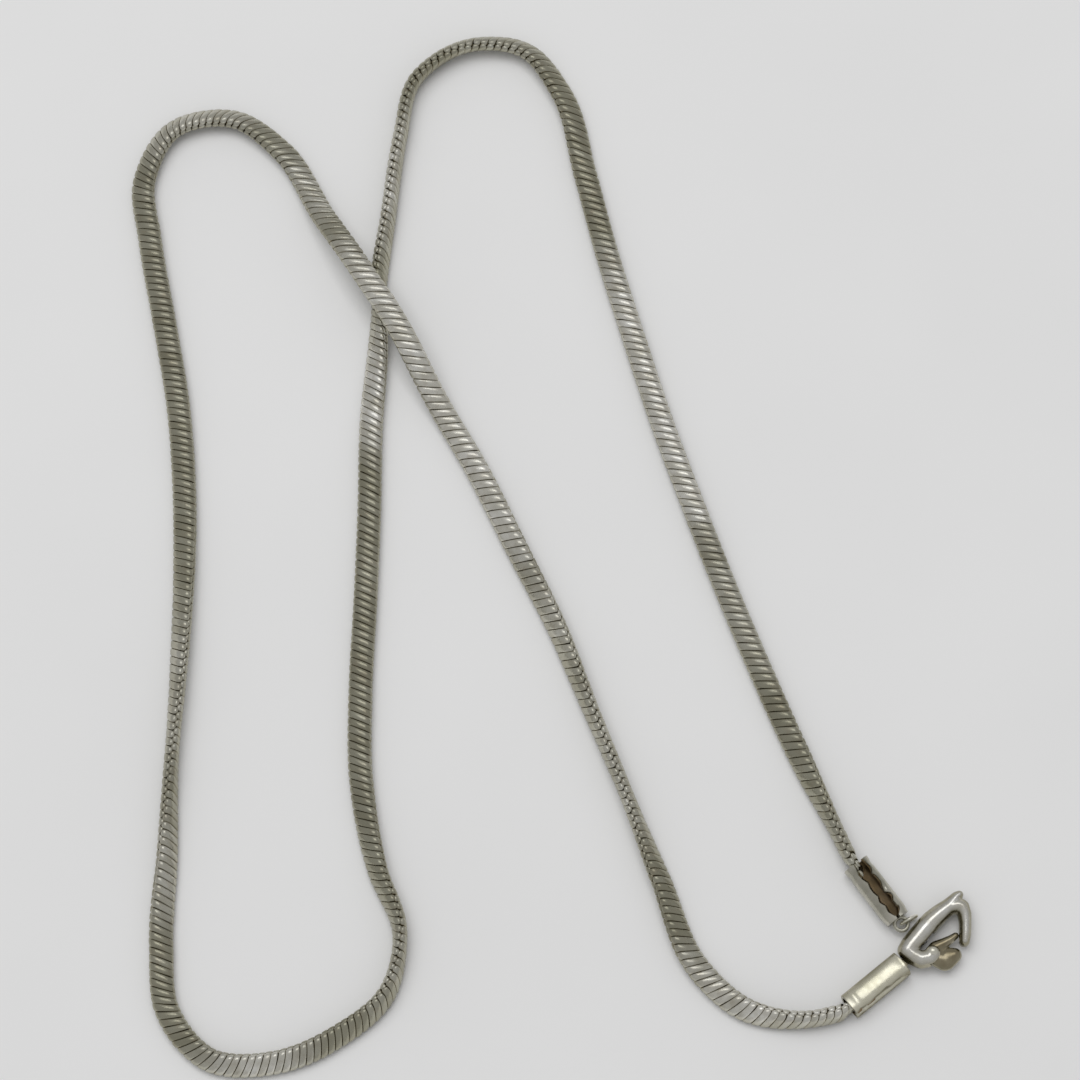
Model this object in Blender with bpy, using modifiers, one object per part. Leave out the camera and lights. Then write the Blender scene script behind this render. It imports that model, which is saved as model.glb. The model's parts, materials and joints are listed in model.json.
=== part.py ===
"""Chain necklace: a flattened snake chain laid out on a table, with a folded end cap on each end,
a catch ring on one cap and a sprung lobster clasp pinned to the other. Metres, +Z up. The origin is
on the table, under the middle of the layout."""

import math

import bmesh
import bpy
import numpy as np
from mathutils import Euler, Matrix, Vector

MM = 0.001
LAYOUT_MIDDLE = (0.356, 0.064)  # mm, middle of the layout's box in the route's own coordinates

# Chain section and division
CHAIN_WIDTH = 2.68 * MM
CHAIN_THICKNESS = 1.62 * MM
SECTION_POINTS = 10
RUNS = 48
RUN_GAP = 0.4 * MM
RUN_STATIONS = 9
END_SHRINK = ((0.0, 0.70), (0.05, 0.92), (0.12, 1.0))  # share of a run from its end, scale there
TONGUE = 1.4 * MM
TONGUE_SCALE = 0.42
STRAND_GAP = 0.35 * MM
HUMP_TOP = 4.2 * MM
HUMP_RAMP = 13.0 * MM
ROOT_RUN = 24
STEPS_PER_SPAN = 12

# End caps
CAP_LENGTH = 7.3 * MM
CAP_WIDTH = 2.9 * MM
CAP_HEIGHT = 2.6 * MM
CAP_WALL = 0.42 * MM
CAP_END_WALL = 1.1 * MM
CAP_SLOT = 1.1 * MM
CAP_A_MOUTH = (33.65, -36.15)
CAP_A_HEADING = math.radians(-53.5)
CAP_B_MOUTH = (32.66, -51.38)
CAP_B_HEADING = math.radians(38.9)
SEAM_TURN_B = math.radians(90)

# Tab with an eye on each cap, and the catch ring
EYE_REACH_A = 0.65 * MM
EYE_REACH_B = 1.45 * MM
EYE_RADIUS = 0.85 * MM
EYE_HOLE = 0.55 * MM
EYE_THICKNESS = 0.4 * MM
TAB_WIDTH = 1.1 * MM
RING_RADIUS = 0.92 * MM
RING_WIRE = 0.18 * MM
EYE_HEIGHT = RING_RADIUS + RING_WIRE
RING_HEADING = math.radians(28.0)

# Lobster clasp
CLASP_HEADING = math.radians(50.0)
CLASP_THICKNESS = 2.6 * MM
CLASP_ROUND = 0.42 * MM
LEVER_THICKNESS = 1.1 * MM
LEVER_SLOT = 1.7 * MM
LEVER_ROUND = 0.2 * MM
TAB_SLOT = 1.0 * MM
BASE_PIN_RADIUS = 0.25 * MM
PIVOT = (1.55, -1.45)
PIN_RADIUS = 0.32 * MM
PIN_HOLE = 0.62 * MM
PIN_LENGTH = 2.5 * MM
SPRING_AT = (1.95, 0.1)
SPRING_RADIUS = 0.3 * MM
SPRING_WIRE = 0.08 * MM
SPRING_TURNS = 4
SPRING_LENGTH = 0.7 * MM

# The chain's route from the catch-ring cap to the clasp cap: x and y in mm, and the turn of the
# chain's broad face about its own run in degrees, 0 with the face up.
ROUTE = (
    (34.2, -37.1, -90), (33.2, -35.7, -90), (32.0, -33.2, -88), (27.7, -23.9, -30),
    (23.9, -14.9, -15), (20.2, -5.6, -10), (16.7, 3.9, -10), (13.4, 13.3, -10),
    (10.4, 23.0, -10), (7.6, 32.4, -10), (5.1, 42.2, 5), (2.5, 51.8, 30),
    (-1.7, 57.1, 50), (-8.5, 57.5, 70), (-14.1, 53.4, 85), (-15.7, 46.7, 95),
    (-17.0, 36.8, 105), (-17.9, 29.8, 110), (-17.9, 22.9, 50), (-18.6, 12.9, 10),
    (-18.7, 3.1, 5), (-19.0, -7.1, 0), (-19.4, -17.1, 5), (-19.2, -27.0, 15),
    (-17.3, -36.8, 50), (-14.9, -43.3, 80), (-16.2, -50.0, 115), (-21.4, -54.5, 140),
    (-27.9, -57.2, 145), (-34.8, -56.9, 150), (-39.3, -51.9, 175), (-40.2, -45.0, 190),
    (-39.8, -35.0, 230), (-39.6, -25.0, 270), (-39.1, -15.1, 300), (-38.8, -5.0, 325),
    (-39.0, 5.0, 350), (-39.9, 14.8, 355), (-41.7, 24.7, 355), (-43.6, 34.6, 350),
    (-44.4, 41.5, 340), (-41.3, 47.5, 320), (-34.6, 48.8, 320), (-28.9, 44.9, 340),
    (-23.9, 36.4, 360), (-20.4, 30.9, 360), (-16.5, 24.9, 365), (-11.9, 16.4, 365),
    (-7.0, 7.9, 375), (-2.6, -1.1, 390), (1.8, -10.1, 410), (5.5, -19.4, 435),
    (9.3, -28.7, 455), (12.9, -37.9, 495), (16.7, -47.1, 530), (21.9, -51.7, 575),
    (28.3, -52.7, 615), (30.2, -52.4, 615), (31.7, -51.95, 615), (32.66, -51.38, 615),
    (33.6, -50.63, 615),
)

# Outlines of the clasp in its own plane, mm: x from its base pin towards the tip, y to the spine's side
HOOK_OUTLINE = (
    (-0.75, 1.5), (0.3, 1.85), (2.0, 1.85), (4.1, 1.8), (5.5, 1.5), (6.8, 1.0), (7.8, 0.95),
    (8.5, 0.6), (8.5, -0.2), (8.15, -1.1), (7.7, -1.75), (6.8, -2.5), (5.7, -3.3), (4.6, -3.85),
    (4.0, -3.75), (4.05, -3.2), (4.9, -2.6), (5.8, -1.9), (6.55, -1.25), (6.3, -0.65),
    (5.2, -0.42), (3.6, -0.3), (2.7, -0.5), (2.55, -1.4), (2.15, -2.25), (1.2, -2.55),
    (0.3, -2.4), (-0.4, -1.9), (-0.85, -1.0), (-1.05, 0.0), (-1.0, 0.9),
)
LEVER_OUTLINE = (
    (1.2, -0.6), (2.0, -0.65), (3.0, -1.15), (4.0, -1.6), (4.7, -1.95), (4.75, -2.3),
    (4.2, -2.7), (3.7, -3.05), (3.6, -3.7), (2.9, -4.2), (1.7, -4.1), (0.75, -3.4),
    (0.55, -2.6), (0.7, -1.9), (0.65, -1.2),
)


def half_height(twist):
    """Half the height of the chain's section when its face is turned by twist."""
    across = CHAIN_WIDTH / 2 * np.sin(twist)
    through = CHAIN_THICKNESS / 2 * np.cos(twist)
    return np.hypot(across, through)


def smooth_curve(points):
    """Rows on one smooth curve through points, whose slopes follow the plan distance."""
    rows = np.array(points, float)
    step = np.linalg.norm(np.diff(rows[:, :2], axis=0), axis=1)
    rate = np.diff(rows, axis=0) / step[:, None]
    slope = np.empty_like(rows)
    weight = step[:-1] + step[1:]
    slope[1:-1] = (rate[:-1] * step[1:, None] + rate[1:] * step[:-1, None]) / weight[:, None]
    slope[0] = rate[0]
    slope[-1] = rate[-1]
    made = []
    for k in range(len(rows) - 1):
        for t in np.arange(STEPS_PER_SPAN) / STEPS_PER_SPAN:
            start = (2 * t**3 - 3 * t**2 + 1) * rows[k] + (3 * t**2 - 2 * t**3) * rows[k + 1]
            bend = (t**3 - 2 * t**2 + t) * slope[k] + (t**3 - t**2) * slope[k + 1]
            made.append(start + step[k] * bend)
    made.append(rows[-1])
    return np.array(made)


def crossing(plan, along):
    """The two distances along the chain at which its strands cross in plan, under first."""
    half = int(np.searchsorted(along, along[-1] / 2))
    gaps = np.linalg.norm(plan[:half, None] - plan[None, half:], axis=2)
    clear = along[None, half:] - along[:half, None] > 0.1
    gaps = np.where(clear, gaps, np.inf)
    under, over = np.unravel_index(gaps.argmin(), gaps.shape)
    return along[under], along[half + over]


def chain_path():
    """Distance along the chain, its centre line and its twist in radians, at many stations."""
    rows = smooth_curve(ROUTE)
    plan = (rows[:, :2] - np.array(LAYOUT_MIDDLE)) * MM
    twist = np.radians(rows[:, 2])
    along = np.concatenate([[0.0], np.cumsum(np.linalg.norm(np.diff(plan, axis=0), axis=1))])
    under, over = crossing(plan, along)
    rise = 2 * half_height(np.interp(under, along, twist)) + STRAND_GAP
    away = np.clip((np.abs(along - over) - HUMP_TOP) / HUMP_RAMP, 0, 1)
    height = half_height(twist) + rise * (1 - away**2 * (3 - 2 * away))
    centre = np.column_stack([plan, height])
    along = np.concatenate([[0.0], np.cumsum(np.linalg.norm(np.diff(centre, axis=0), axis=1))])
    return along, centre, twist


def at(path, distance):
    """The chain's centre and twist at one distance along it."""
    along, centre, twist = path
    point = Vector([float(np.interp(distance, along, centre[:, k])) for k in range(3)])
    return point, float(np.interp(distance, along, twist))


def joint_distance(path, run):
    """The distance along the chain at which a run is hinged to its neighbour nearer the root."""
    pitch = path[0][-1] / RUNS
    return pitch * run if run < ROOT_RUN else pitch * (run - 1)


def material(name, colour, roughness, metallic):
    """A plain metal."""
    made = bpy.data.materials.new(name)
    made.use_nodes = True
    shader = made.node_tree.nodes["Principled BSDF"]
    shader.inputs["Base Color"].default_value = (*colour, 1.0)
    shader.inputs["Roughness"].default_value = roughness
    shader.inputs["Metallic"].default_value = metallic
    return made


def keep(obj, collection, finish=None):
    """Moves an object to its collection and gives it its material."""
    for other in list(obj.users_collection):
        other.objects.unlink(obj)
    collection.objects.link(obj)
    if finish:
        obj.data.materials.clear()
        obj.data.materials.append(finish)
    return obj


def cutter(obj, collection):
    """Marks an object as a cutter."""
    keep(obj, collection)
    obj.hide_render = True
    obj.display_type = "WIRE"
    return obj


def box(name, low, high):
    """A box mesh object between two corners."""
    mesh = bpy.data.meshes.new(name)
    shape = bmesh.new()
    bmesh.ops.create_cube(shape, size=1.0)
    size = Vector(high) - Vector(low)
    bmesh.ops.scale(shape, vec=size, verts=shape.verts)
    bmesh.ops.translate(shape, vec=(Vector(high) + Vector(low)) / 2, verts=shape.verts)
    shape.to_mesh(mesh)
    shape.free()
    return bpy.data.objects.new(name, mesh)


def rod(name, radius, length, centre, sides=20, lying=False):
    """A cylinder mesh object, upright, or lying along Y."""
    mesh = bpy.data.meshes.new(name)
    shape = bmesh.new()
    bmesh.ops.create_cone(
        shape, cap_ends=True, segments=sides, radius1=radius, radius2=radius, depth=length
    )
    if lying:
        turn = Euler((math.pi / 2, 0, 0)).to_matrix()
        bmesh.ops.rotate(shape, matrix=turn, verts=shape.verts)
    bmesh.ops.translate(shape, vec=centre, verts=shape.verts)
    shape.to_mesh(mesh)
    shape.free()
    return bpy.data.objects.new(name, mesh)


def boolean(obj, other, operation):
    """Cuts or joins another object."""
    step = obj.modifiers.new(other.name, "BOOLEAN")
    step.object = other
    step.operation = operation
    step.solver = "EXACT"


def bevel(obj, width, segments=2, angle=40):
    """Rounds the edges sharper than angle degrees."""
    step = obj.modifiers.new("rounded", "BEVEL")
    step.width = width
    step.segments = segments
    step.limit_method = "ANGLE"
    step.angle_limit = math.radians(angle)


def section_curve(collection):
    """The oval that every chain run is bevelled with."""
    data = bpy.data.curves.new("chain_section", "CURVE")
    data.dimensions = "2D"
    line = data.splines.new("POLY")
    line.points.add(SECTION_POINTS - 1)
    for k, point in enumerate(line.points):
        turn = -2 * math.pi * k / SECTION_POINTS
        x = CHAIN_WIDTH / 2 * math.cos(turn)
        y = CHAIN_THICKNESS / 2 * math.sin(turn)
        point.co = (x, y, 0, 1)
    line.use_cyclic_u = True
    return cutter(bpy.data.objects.new("chain_section", data), collection)


def end_scale(share):
    """How far a run's section is drawn in, at a share of the run's length from its nearer end."""
    shares, scales = zip(*END_SHRINK)
    return float(np.interp(share, shares, scales))


def run_stations(path, run):
    """Distances and section scales along one run, with a tongue into each end cap."""
    pitch = path[0][-1] / RUNS
    low = pitch * (run - 1) + (RUN_GAP / 2 if run > 1 else 0)
    high = pitch * run - (RUN_GAP / 2 if run < RUNS else 0)
    length = high - low
    shares = np.unique([0, END_SHRINK[1][0], *np.linspace(0.12, 0.88, RUN_STATIONS - 4), 0.95, 1])
    stations = [(low + length * u, end_scale(min(u, 1 - u))) for u in shares]
    if run == 1:
        stations = [s for s in stations if s[0] > 2 * TONGUE]
        tongue = [(low, TONGUE_SCALE), (TONGUE, TONGUE_SCALE), (1.5 * TONGUE, 0.95)]
        stations = tongue + stations
    if run == RUNS:
        stations = [s for s in stations if s[0] < high - 2 * TONGUE]
        tongue = [(high - 1.5 * TONGUE, 0.95), (high - TONGUE, TONGUE_SCALE), (high, TONGUE_SCALE)]
        stations = stations + tongue
    return stations


def chain_run(path, run, section, finish, collection):
    """One run of links as a plain solid, with its origin on the hinge nearer the root."""
    name = f"snake_chain_run_{run:02d}"
    hinge, _ = at(path, joint_distance(path, run))
    stations = run_stations(path, run)
    data = bpy.data.curves.new(name, "CURVE")
    data.dimensions = "3D"
    data.twist_mode = "Z_UP"
    data.bevel_mode = "OBJECT"
    data.bevel_object = section
    data.use_fill_caps = True
    line = data.splines.new("POLY")
    line.points.add(len(stations) - 1)
    for point, (distance, scale) in zip(line.points, stations):
        centre, twist = at(path, distance)
        point.co = (*(centre - hinge), 1)
        point.tilt = twist
        point.radius = scale
    made = bpy.data.objects.new(name, data)
    made.location = hinge
    return keep(made, collection, finish)


def chain(path, section, finish, collection):
    """All runs of the chain, by number."""
    return {
        run: chain_run(path, run, section, finish, collection) for run in range(1, RUNS + 1)
    }


def table_point(mouth):
    """A place given in the route's millimetres, as a point on the table."""
    return Vector(((mouth[0] - LAYOUT_MIDDLE[0]) * MM, (mouth[1] - LAYOUT_MIDDLE[1]) * MM, 0))


def ahead(heading, distance):
    """A step along the table."""
    return Vector((math.cos(heading), math.sin(heading), 0)) * distance


def end_cap(name, mouth, heading, reach, seam_turn, parent, finish, parts, cutters):
    """A folded box cap, open at the chain's end and along one seam, with a flat tab in front."""
    floor = Vector((0, 0, -CAP_HEIGHT / 2))
    half = CAP_WIDTH / 2
    cap = box(name, floor + Vector((0, -half, 0)), floor + Vector((CAP_LENGTH, half, CAP_HEIGHT)))
    bevel(cap, 0.3 * MM)
    eye_at = Vector((CAP_LENGTH + reach, 0, EYE_HEIGHT - CAP_HEIGHT / 2))
    eye = cutter(rod(f"{name}_eye", EYE_RADIUS, EYE_THICKNESS, eye_at, 24), cutters)
    hole = cutter(rod(f"{name}_hole", EYE_HOLE, CAP_HEIGHT, eye_at, 16), cutters)
    thin = Vector((0, TAB_WIDTH, EYE_THICKNESS)) / 2
    tab_low = eye_at - thin - Vector((reach + 0.3 * MM, 0, 0))
    tab = cutter(box(f"{name}_tab", tab_low, eye_at + thin), cutters)
    inside = half - CAP_WALL
    deep = CAP_LENGTH - CAP_END_WALL
    cavity = cutter(
        box(
            f"{name}_cavity",
            floor + Vector((-MM, -inside, CAP_WALL)),
            floor + Vector((deep, inside, CAP_HEIGHT - CAP_WALL)),
        ),
        cutters,
    )
    seam = cutter(
        box(
            f"{name}_seam",
            (-MM, -CAP_SLOT / 2, 0),
            (deep - MM, CAP_SLOT / 2, CAP_HEIGHT),
        ),
        cutters,
    )
    seam.data.transform(Matrix.Rotation(seam_turn, 4, "X"))
    boolean(cap, cavity, "DIFFERENCE")
    boolean(cap, seam, "DIFFERENCE")
    boolean(cap, tab, "UNION")
    boolean(cap, eye, "UNION")
    boolean(cap, hole, "DIFFERENCE")
    place = table_point(mouth) + Vector((0, 0, CAP_HEIGHT / 2)) - parent.location
    for piece in (cap, tab, eye, hole, cavity, seam):
        piece.parent = parent
        piece.location = place
        piece.rotation_euler = (0, 0, heading)
    return keep(cap, parts, finish)


def eye_centre(mouth, heading, reach, height):
    """The middle of an end cap's eye, at a height above the table."""
    return table_point(mouth) + ahead(heading, CAP_LENGTH + reach) + Vector((0, 0, height))


def upright_ring(name, eye, heading, finish, collection):
    """A round ring standing on the table, threaded through an eye, with its origin in the eye."""
    bpy.ops.mesh.primitive_torus_add(
        major_radius=RING_RADIUS, minor_radius=RING_WIRE, major_segments=24, minor_segments=8
    )
    ring = bpy.context.object
    ring.name = name
    turn = Euler((math.pi / 2, 0, heading)).to_matrix().to_4x4()
    turn.translation = ahead(heading, RING_RADIUS)
    ring.data.transform(turn)
    ring.data.shade_smooth()
    ring.location = eye
    return keep(ring, collection, finish)


def outline_mesh(name, outline, thickness):
    """A closed smooth outline in mm, thickened about its own plane, as a mesh object."""
    data = bpy.data.curves.new(name, "CURVE")
    data.dimensions = "2D"
    data.fill_mode = "BOTH"
    data.extrude = thickness / 2
    data.resolution_u = 3
    line = data.splines.new("BEZIER")
    line.bezier_points.add(len(outline) - 1)
    for point, (x, y) in zip(line.bezier_points, outline):
        point.co = (x * MM, y * MM, 0)
        point.handle_left_type = "AUTO"
        point.handle_right_type = "AUTO"
    line.use_cyclic_u = True
    guide = bpy.data.objects.new(name, data)
    bpy.context.scene.collection.objects.link(guide)
    bpy.context.view_layer.update()
    mesh = bpy.data.meshes.new_from_object(guide.evaluated_get(bpy.context.evaluated_depsgraph_get()))
    bpy.data.objects.remove(guide)
    shape = bmesh.new()
    shape.from_mesh(mesh)
    bmesh.ops.remove_doubles(shape, verts=shape.verts, dist=0.00001)
    bmesh.ops.dissolve_limit(
        shape, angle_limit=math.radians(1), verts=shape.verts, edges=shape.edges
    )
    bmesh.ops.recalc_face_normals(shape, faces=shape.faces)
    shape.to_mesh(mesh)
    shape.free()
    mesh.name = name
    return bpy.data.objects.new(name, mesh)


def spring_wire(name, centre, finish, collection):
    """The lever's coil spring, which pushes across the clasp."""
    data = bpy.data.curves.new(name, "CURVE")
    data.dimensions = "3D"
    data.bevel_depth = SPRING_WIRE
    data.bevel_resolution = 2
    data.use_fill_caps = True
    line = data.splines.new("POLY")
    count = SPRING_TURNS * 10
    line.points.add(count)
    for k, point in enumerate(line.points):
        turn = 2 * math.pi * k / 10
        x = SPRING_RADIUS * math.cos(turn)
        z = SPRING_RADIUS * math.sin(turn)
        y = SPRING_LENGTH * (0.5 - k / count)
        point.co = (x, y, z, 1)
    made = bpy.data.objects.new(name, data)
    made.location = centre
    return keep(made, collection, finish)


def lobster_clasp(eye, finishes, parts, cutters):
    """The hook, lever, pivot pin and spring, parented to an empty on the clasp's base pin."""
    frame = bpy.data.objects.new("clasp_frame", None)
    parts.objects.link(frame)
    frame.location = eye
    frame.rotation_euler = (0, 0, CLASP_HEADING)

    hook = outline_mesh("clasp_hook", HOOK_OUTLINE, CLASP_THICKNESS)
    bevel(hook, CLASP_ROUND, 2, 50)
    pivot = Vector((PIVOT[0] * MM, PIVOT[1] * MM, 0))
    low = Vector((0.3 * MM, -4 * MM, -LEVER_SLOT / 2))
    slot = box("clasp_slot", low, (3.3 * MM, -0.15 * MM, LEVER_SLOT / 2))
    spring_at = Vector((SPRING_AT[0] * MM, SPRING_AT[1] * MM, 0))
    pocket = rod("clasp_pocket", 0.6 * MM, 1.4 * MM, spring_at, 16, lying=True)
    tab_at = EYE_HEIGHT - eye.z
    low = Vector((-2 * MM, -3 * MM, tab_at - TAB_SLOT / 2))
    tab_slot = box("clasp_tab_slot", low, (1.15 * MM, 1.2 * MM, tab_at + TAB_SLOT / 2))
    base_pin = rod("clasp_base_pin", BASE_PIN_RADIUS, CLASP_THICKNESS - 0.4 * MM, (0, 0, 0), 16)
    pin_hole = rod("clasp_pin_hole", PIN_HOLE, 2 * CLASP_THICKNESS, pivot, 16)
    for tool in (slot, pocket, tab_slot, pin_hole):
        boolean(hook, tool, "DIFFERENCE")
    boolean(hook, base_pin, "UNION")

    lever = outline_mesh("clasp_lever", LEVER_OUTLINE, LEVER_THICKNESS)
    bevel(lever, LEVER_ROUND, 1, 50)
    lever.data.transform(Matrix.Translation(-pivot))
    lever.location = pivot
    lever_hole = rod("lever_pin_hole", PIN_HOLE, 2 * CLASP_THICKNESS, pivot, 16)
    boolean(lever, lever_hole, "DIFFERENCE")

    pin = rod("clasp_pivot_pin", PIN_RADIUS, PIN_LENGTH, (0, 0, 0), 16)
    pin.location = pivot
    spring = spring_wire("clasp_spring", spring_at, finishes["spring"], parts)

    for piece in (hook, lever, pin):
        keep(piece, parts, finishes["clasp"])
    for tool in (slot, pocket, tab_slot, base_pin, pin_hole, lever_hole):
        cutter(tool, cutters)
        tool.parent = frame
    for piece in (hook, lever, pin, spring):
        piece.parent = frame


def main():
    for obj in list(bpy.data.objects):
        bpy.data.objects.remove(obj)
    parts = bpy.data.collections.new("chain_necklace")
    cutters = bpy.data.collections.new("cutters")
    bpy.context.scene.collection.children.link(parts)
    bpy.context.scene.collection.children.link(cutters)
    finishes = {
        "chain": material("snake_chain_silver", (0.42, 0.41, 0.36), 0.3, 1.0),
        "cap": material("end_cap_silver", (0.5, 0.48, 0.42), 0.3, 1.0),
        "ring": material("ring_silver", (0.62, 0.6, 0.53), 0.22, 1.0),
        "clasp": material("clasp_silver", (0.62, 0.6, 0.54), 0.2, 1.0),
        "spring": material("spring_steel", (0.5, 0.5, 0.5), 0.35, 1.0),
    }
    path = chain_path()
    runs = chain(path, section_curve(cutters), finishes["chain"], parts)
    end_cap(
        "end_cap_a", CAP_A_MOUTH, CAP_A_HEADING, EYE_REACH_A, 0, runs[1], finishes["cap"],
        parts, cutters,
    )
    end_cap(
        "end_cap_b", CAP_B_MOUTH, CAP_B_HEADING, EYE_REACH_B, SEAM_TURN_B, runs[RUNS],
        finishes["cap"], parts, cutters,
    )
    ring_eye = eye_centre(CAP_A_MOUTH, CAP_A_HEADING, EYE_REACH_A, EYE_HEIGHT)
    upright_ring("catch_ring", ring_eye, RING_HEADING, finishes["ring"], parts)
    clasp_eye = eye_centre(CAP_B_MOUTH, CAP_B_HEADING, EYE_REACH_B, CLASP_THICKNESS / 2)
    lobster_clasp(clasp_eye, finishes, parts, cutters)


if __name__ == "__main__":
    main()
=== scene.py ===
"""Looks of the chain necklace: the snake chain's wavy links, the folded end caps, the catch ring
and the lobster clasp, with worn silver finishes. Metres, +Z up, in the CAD part's frame."""

import json
import math

import bmesh
import bpy
import numpy as np
from mathutils import Matrix, Vector


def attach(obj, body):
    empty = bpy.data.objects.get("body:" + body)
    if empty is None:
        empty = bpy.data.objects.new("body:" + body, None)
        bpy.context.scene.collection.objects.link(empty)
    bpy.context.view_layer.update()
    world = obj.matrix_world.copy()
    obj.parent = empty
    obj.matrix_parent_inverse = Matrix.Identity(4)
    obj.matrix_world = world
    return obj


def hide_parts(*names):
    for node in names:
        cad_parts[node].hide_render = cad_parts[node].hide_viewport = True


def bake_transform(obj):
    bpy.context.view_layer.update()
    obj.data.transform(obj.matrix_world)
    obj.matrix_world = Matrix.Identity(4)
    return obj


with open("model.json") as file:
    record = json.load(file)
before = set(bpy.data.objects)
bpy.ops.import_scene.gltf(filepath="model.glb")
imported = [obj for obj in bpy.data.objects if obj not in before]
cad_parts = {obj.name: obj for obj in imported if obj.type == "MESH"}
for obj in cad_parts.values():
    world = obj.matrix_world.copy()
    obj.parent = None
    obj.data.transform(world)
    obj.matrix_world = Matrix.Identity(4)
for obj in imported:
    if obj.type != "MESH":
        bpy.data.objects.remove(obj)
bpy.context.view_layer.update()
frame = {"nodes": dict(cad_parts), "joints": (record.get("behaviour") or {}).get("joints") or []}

MM = 0.001

# The chain as the CAD part has it
LAYOUT_MIDDLE = (0.356, 0.064)
CHAIN_WIDTH = 2.68 * MM
CHAIN_THICKNESS = 1.62 * MM
STRAND_GAP = 0.35 * MM
HUMP_TOP = 4.2 * MM
HUMP_RAMP = 13.0 * MM
RUNS = 48
ROUTE = (
    (34.2, -37.1, -90), (33.2, -35.7, -90), (32.0, -33.2, -88), (27.7, -23.9, -30),
    (23.9, -14.9, -15), (20.2, -5.6, -10), (16.7, 3.9, -10), (13.4, 13.3, -10),
    (10.4, 23.0, -10), (7.6, 32.4, -10), (5.1, 42.2, 5), (2.5, 51.8, 30),
    (-1.7, 57.1, 50), (-8.5, 57.5, 70), (-14.1, 53.4, 85), (-15.7, 46.7, 95),
    (-17.0, 36.8, 105), (-17.9, 29.8, 110), (-17.9, 22.9, 50), (-18.6, 12.9, 10),
    (-18.7, 3.1, 5), (-19.0, -7.1, 0), (-19.4, -17.1, 5), (-19.2, -27.0, 15),
    (-17.3, -36.8, 50), (-14.9, -43.3, 80), (-16.2, -50.0, 115), (-21.4, -54.5, 140),
    (-27.9, -57.2, 145), (-34.8, -56.9, 150), (-39.3, -51.9, 175), (-40.2, -45.0, 190),
    (-39.8, -35.0, 230), (-39.6, -25.0, 270), (-39.1, -15.1, 300), (-38.8, -5.0, 325),
    (-39.0, 5.0, 350), (-39.9, 14.8, 355), (-41.7, 24.7, 355), (-43.6, 34.6, 350),
    (-44.4, 41.5, 340), (-41.3, 47.5, 320), (-34.6, 48.8, 320), (-28.9, 44.9, 340),
    (-23.9, 36.4, 360), (-20.4, 30.9, 360), (-16.5, 24.9, 365), (-11.9, 16.4, 365),
    (-7.0, 7.9, 375), (-2.6, -1.1, 390), (1.8, -10.1, 410), (5.5, -19.4, 435),
    (9.3, -28.7, 455), (12.9, -37.9, 495), (16.7, -47.1, 530), (21.9, -51.7, 575),
    (28.3, -52.7, 615), (30.2, -52.4, 615), (31.7, -51.95, 615), (32.66, -51.38, 615),
    (33.6, -50.63, 615),
)
STEPS_PER_SPAN = 48

# Links
BAND_FILL = 0.975  # share of the pitch that a band's foot takes
GROOVE_DEPTH = 0.13 * MM
BAND_ROOT = 0.48 * MM  # how deep a band's inner side lies
CORE_DEPTH = 0.36 * MM
CORE_STATIONS = 24
CORE_SIDES = 12
SECTION_POWER = 2.5  # 2 is an ellipse, more is flatter faced
PITCH = (  # mm along the chain, pitch of the links there in mm
    (0, 0.88), (11, 0.91), (85, 0.90), (110, 0.88), (140, 0.84), (255, 0.82), (285, 0.88),
    (298, 0.82), (345, 0.82), (385, 0.92), (400, 0.94), (435, 0.92), (450, 0.84), (484, 0.84),
)
LEAN = (  # mm along the chain, lean of the links in degrees
    (0, 22), (20, 22), (30, 27), (45, 29), (85, 29), (100, 26), (145, 25), (165, 27), (180, 20),
    (200, 25), (250, 22), (300, 18), (340, 20), (370, 31), (390, 34), (400, 27), (410, 23),
    (420, 20), (445, 18), (484, 24),
)
HIGHLIGHT_STRETCHES = (  # mm along the chain from and to, strength of the painted highlight there
    (-5, 6, 0.3), (25, 38, 0.35), (41, 74, 0.95), (100, 109, 0.4), (121, 136, 0.75),
    (145, 159, 1.0), (212, 222, 0.35), (231, 241, 1.0), (258, 270, 0.5), (274, 292, 0.35),
    (346, 358, 0.6), (364, 374, 0.55), (378, 419, 1.0), (419, 432, 0.55), (434, 452, 0.5),
    (466, 490, 0.9),
)
LINK_SEED = 7

# End caps and the catch ring, mm
CAP_LENGTH = 7.3
CAP_WIDTH = 2.9
CAP_HEIGHT = 2.6
SHEET = 0.3
EYE_HEIGHT = 1.1
EYE_RADIUS = 0.9
EYE_HOLE = 0.53
EYE_EDGE = 0.09  # width of the rounded edge inside and outside the eye's rim
TAB_THICKNESS = 0.46
TAB_HALF_WIDTHS = (0.55, 0.42)  # at the cap and at the eye
CAPS = (  # name, body, joint in its eye, heading in degrees, eye's reach, turn of the seam, seed
    ("end_cap_a", "run_01", "catch_ring_swing", -53.5, 0.65, 0, 3),
    ("end_cap_b", "run_48", "clasp_swing", 38.9, 1.45, 78, 8),
)
RING_RADIUS = 0.92
RING_WIRE = 0.19
RING_HEADING = 28.0

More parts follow.
